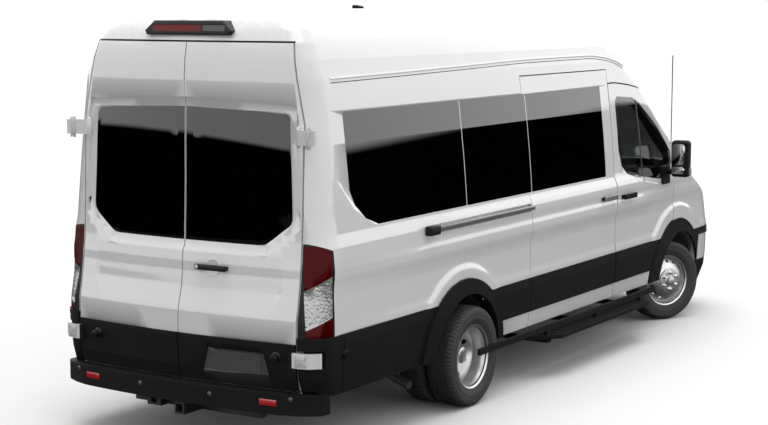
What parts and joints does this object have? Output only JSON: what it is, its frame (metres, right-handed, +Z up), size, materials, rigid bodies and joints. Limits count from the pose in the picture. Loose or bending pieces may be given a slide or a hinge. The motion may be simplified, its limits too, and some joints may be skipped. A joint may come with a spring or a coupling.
{
  "type": "minibus",
  "caption": "Long white minibus with a tall roof, dark glass, black lower trim, twin rear wheels, side running boards, a sliding side door and hinged rear doors.",
  "frame": {"origin": "on the ground under the middle of the vehicle's box", "axes": "+X forward, +Y to the vehicle's left, +Z up"},
  "size_m": [6.7009, 2.474, 2.725],
  "materials": {
    "white_paint": "glossy",
    "black_plastic": "grained",
    "dark_glass": "tinted",
    "red_lamp": "clear",
    "clear_lamp": "clear",
    "tyre": "matte",
    "silver_steel": "satin",
    "bare_steel": "satin",
    "cast_iron": "rough",
    "black_steel": "satin",
    "dark_floor": "satin",
    "tank_plastic": "moulded",
    "seat_fabric": "woven",
    "dash_plastic": "grained"
  },
  "bodies": {
    "vehicle": {"roof_panel": "white_paint", "fenders": "white_paint", "windshield_frame": "white_paint", "side_panel_left": "white_paint", "sliding_door": "white_paint", "side_panel_right": "white_paint", "floor_pan": "dark_floor", "wheel_flares": "black_plastic", "front_bumper": "black_plastic", "grille": "black_plastic", "rear_bumper": "black_plastic", "lower_cladding": "black_plastic", "running_boards": "black_plastic", "antennas": "black_plastic", "windshield": "dark_glass", "side_glass": "dark_glass", "high_brake_lamp": "red_lamp", "tail_lamps": "red_lamp", "headlamps": "clear_lamp", "slide_rail": "bare_steel", "spare_wheel": "tyre", "rear_axle": "cast_iron", "engine_block": "cast_iron", "gearbox": "cast_iron", "chassis_rails": "black_steel", "leaf_springs": "black_steel", "front_suspension": "black_steel", "hitch_receiver": "black_steel", "fuel_tank": "tank_plastic", "exhaust": "bare_steel", "cab_seats": "seat_fabric", "bench_seats": "seat_fabric", "dashboard": "dash_plastic", "steering_wheel": "dash_plastic"},
    "front_door_left_body": {"front_door_left": "white_paint", "front_door_glass_left": "dark_glass", "front_door_trim_left": "black_plastic"},
    "front_door_right_body": {"front_door_right": "white_paint", "front_door_glass_right": "dark_glass", "front_door_trim_right": "black_plastic"},
    "rear_door_left_body": {"rear_door_left": "white_paint", "rear_door_glass_left": "dark_glass", "rear_door_trim_left": "black_plastic"},
    "rear_door_right_body": {"rear_door_right": "white_paint", "rear_door_glass_right": "dark_glass", "rear_door_trim_right": "black_plastic"},
    "hood_body": {"hood": "white_paint"},
    "knuckle_left_body": {"knuckle_left": "cast_iron"},
    "knuckle_right_body": {"knuckle_right": "cast_iron"},
    "front_wheel_left": {"front_tyre_left": "tyre", "front_rim_left": "silver_steel"},
    "front_wheel_right": {"front_tyre_right": "tyre", "front_rim_right": "silver_steel"},
    "rear_wheel_left": {"rear_tyres_left": "tyre", "rear_rims_left": "silver_steel"},
    "rear_wheel_right": {"rear_tyres_right": "tyre", "rear_rims_right": "silver_steel"}
  },
  "joints": [
    {"name": "steer_right", "type": "hinge", "parent": "vehicle", "child": "knuckle_right_body", "pos_m": [2.329, -0.8, 0.346], "axis": [0, 0, 1], "range_deg": [-10, 60]},
    {"name": "steer_left", "type": "hinge", "parent": "vehicle", "child": "knuckle_left_body", "pos_m": [2.329, 0.8, 0.346], "axis": [0, 0, 1], "range_deg": [-10, 60]},
    {"name": "front_wheel_right_spin", "type": "hinge", "parent": "knuckle_right_body", "child": "front_wheel_right", "pos_m": [2.29567, -0.86269, 0.346], "axis": [-0.4695, -0.8829, 0], "continuous": true},
    {"name": "front_wheel_left_spin", "type": "hinge", "parent": "knuckle_left_body", "child": "front_wheel_left", "pos_m": [2.35788, 0.86486, 0.346], "axis": [0.4067, 0.9135, 0], "continuous": true},
    {"name": "rear_wheel_right_spin", "type": "hinge", "parent": "vehicle", "child": "rear_wheel_right", "pos_m": [-1.421, -0.8445, 0.346], "axis": [0, -1, 0], "continuous": true},
    {"name": "rear_wheel_left_spin", "type": "hinge", "parent": "vehicle", "child": "rear_wheel_left", "pos_m": [-1.421, 0.8445, 0.346], "axis": [0, 1, 0], "continuous": true},
    {"name": "front_door_right_hinge", "type": "hinge", "parent": "vehicle", "child": "front_door_right_body", "pos_m": [2.097, -0.998, 1.1], "axis": [0, 0, 1], "range_deg": [0, 70]},
    {"name": "front_door_left_hinge", "type": "hinge", "parent": "vehicle", "child": "front_door_left_body", "pos_m": [2.097, 0.998, 1.1], "axis": [0, 0, -1], "range_deg": [0, 70]},
    {"name": "rear_door_right_hinge", "type": "hinge", "parent": "vehicle", "child": "rear_door_right_body", "pos_m": [-3.2, -0.992, 1.3], "axis": [0, 0, 1], "range_deg": [0, 180]},
    {"name": "rear_door_left_hinge", "type": "hinge", "parent": "vehicle", "child": "rear_door_left_body", "pos_m": [-3.2, 0.992, 1.3], "axis": [0, 0, -1], "range_deg": [0, 180]},
    {"name": "hood_hinge", "type": "hinge", "parent": "vehicle", "child": "hood_body", "pos_m": [2.56, 0, 1.272], "axis": [0, -1, 0], "range_deg": [0, 50]}
  ],
  "couplings": [
    {"joint": "steer_left", "follows": "steer_right", "ratio": 1}
  ]
}
